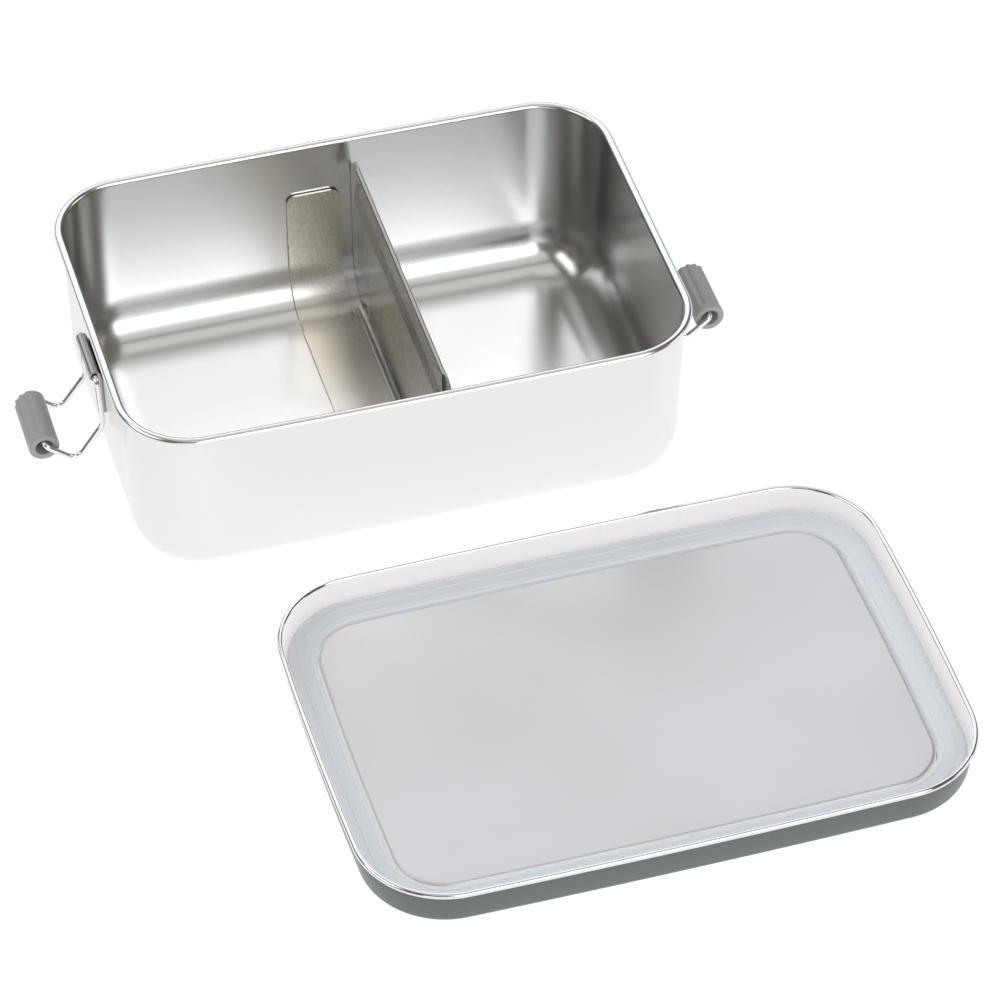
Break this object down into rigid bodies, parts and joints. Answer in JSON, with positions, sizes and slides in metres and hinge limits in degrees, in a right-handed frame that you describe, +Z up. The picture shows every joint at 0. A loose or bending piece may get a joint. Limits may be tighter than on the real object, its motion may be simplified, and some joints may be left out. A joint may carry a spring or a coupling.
{
  "type": "lunch box",
  "caption": "Rectangular stainless steel lunch box with a lift-out divider, a loose gasketed lid and a hinged wire latch with a fluted grip on each short side.",
  "frame": {"origin": "centre of the tray's flat underside", "axes": "+Z up, +X along the tray's long side towards the right-hand latch, -Y towards the side the lid lies on"},
  "size_m": [0.2461, 0.2821, 0.0625],
  "materials": {
    "tray_steel": "satin",
    "divider_steel": "satin",
    "lid_paint": "satin grey-green paint outside, bare steel inside",
    "lid_steel": "satin, the lid's unpainted inside and bead",
    "silicone": "translucent pale blue-white silicone",
    "bracket_steel": "satin",
    "wire_steel": "polished",
    "grip": "matte grey silicone"
  },
  "bodies": {
    "box": {"box_body": "tray_steel", "left_bracket": "bracket_steel", "right_bracket": "bracket_steel"},
    "divider": {"divider": "divider_steel"},
    "lid": {"lid_shell": "lid_paint"},
    "gasket": {"lid_gasket": "silicone"},
    "left_latch": {"left_bail": "wire_steel"},
    "right_latch": {"right_bail": "wire_steel"},
    "left_sleeve": {"left_grip": "grip"},
    "right_sleeve": {"right_grip": "grip"}
  },
  "joints": [
    {"name": "lid_lift", "type": "slide", "parent": "box", "child": "lid", "axis": [0, 0, 1], "range_m": [0, 0.12]},
    {"name": "gasket_pull", "type": "slide", "parent": "lid", "child": "gasket", "axis": [0, 0, 1], "range_m": [0, 0.02]},
    {"name": "divider_lift", "type": "slide", "parent": "box", "child": "divider", "axis": [0, 0, 1], "range_m": [0, 0.065]},
    {"name": "left_bail_swing", "type": "hinge", "parent": "box", "child": "left_latch", "pos_m": [-0.0905, 0, 0.047], "axis": [0, 1, 0], "range_deg": [0, 175]},
    {"name": "right_bail_swing", "type": "hinge", "parent": "box", "child": "right_latch", "pos_m": [0.0905, 0, 0.047], "axis": [0, -1, 0], "range_deg": [0, 175]},
    {"name": "left_grip_spin", "type": "hinge", "parent": "left_latch", "child": "left_sleeve", "pos_m": [-0.1082, 0, 0.02309], "axis": [0, 1, 0], "continuous": true},
    {"name": "right_grip_spin", "type": "hinge", "parent": "right_latch", "child": "right_sleeve", "pos_m": [0.1082, 0, 0.02309], "axis": [0, 1, 0], "continuous": true}
  ]
}
